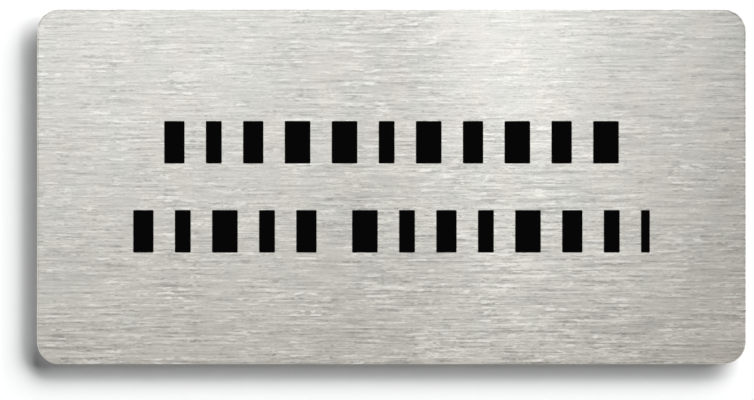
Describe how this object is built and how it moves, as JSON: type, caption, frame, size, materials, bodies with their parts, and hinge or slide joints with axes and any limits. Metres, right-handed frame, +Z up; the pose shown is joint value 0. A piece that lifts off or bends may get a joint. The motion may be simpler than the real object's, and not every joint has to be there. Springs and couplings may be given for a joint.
{
  "type": "authorised personnel only sign",
  "caption": "Self-adhesive brushed steel door plate with rounded corners, rows of raised black print marks on its face and foam tape strips behind.",
  "frame": {"origin": "on the wall, at the middle of the centre tape strip's wall face and behind the middle of the plate", "axes": "+X to the reader's right, +Z up, +Y into the wall; the face looks along -Y"},
  "size_m": [0.16, 0.002, 0.08],
  "materials": {
    "plate_steel": "fine brushed, grain along the length",
    "print_ink": "satin black screen ink",
    "foam_tape": "white closed-cell foam with a tacky skin"
  },
  "bodies": {
    "root": {"sign_plate": "plate_steel", "print_row_upper": "print_ink", "print_row_lower": "print_ink", "tape_strip_left": "foam_tape", "tape_strip_centre": "foam_tape", "tape_strip_right": "foam_tape"}
  },
  "joints": []
}
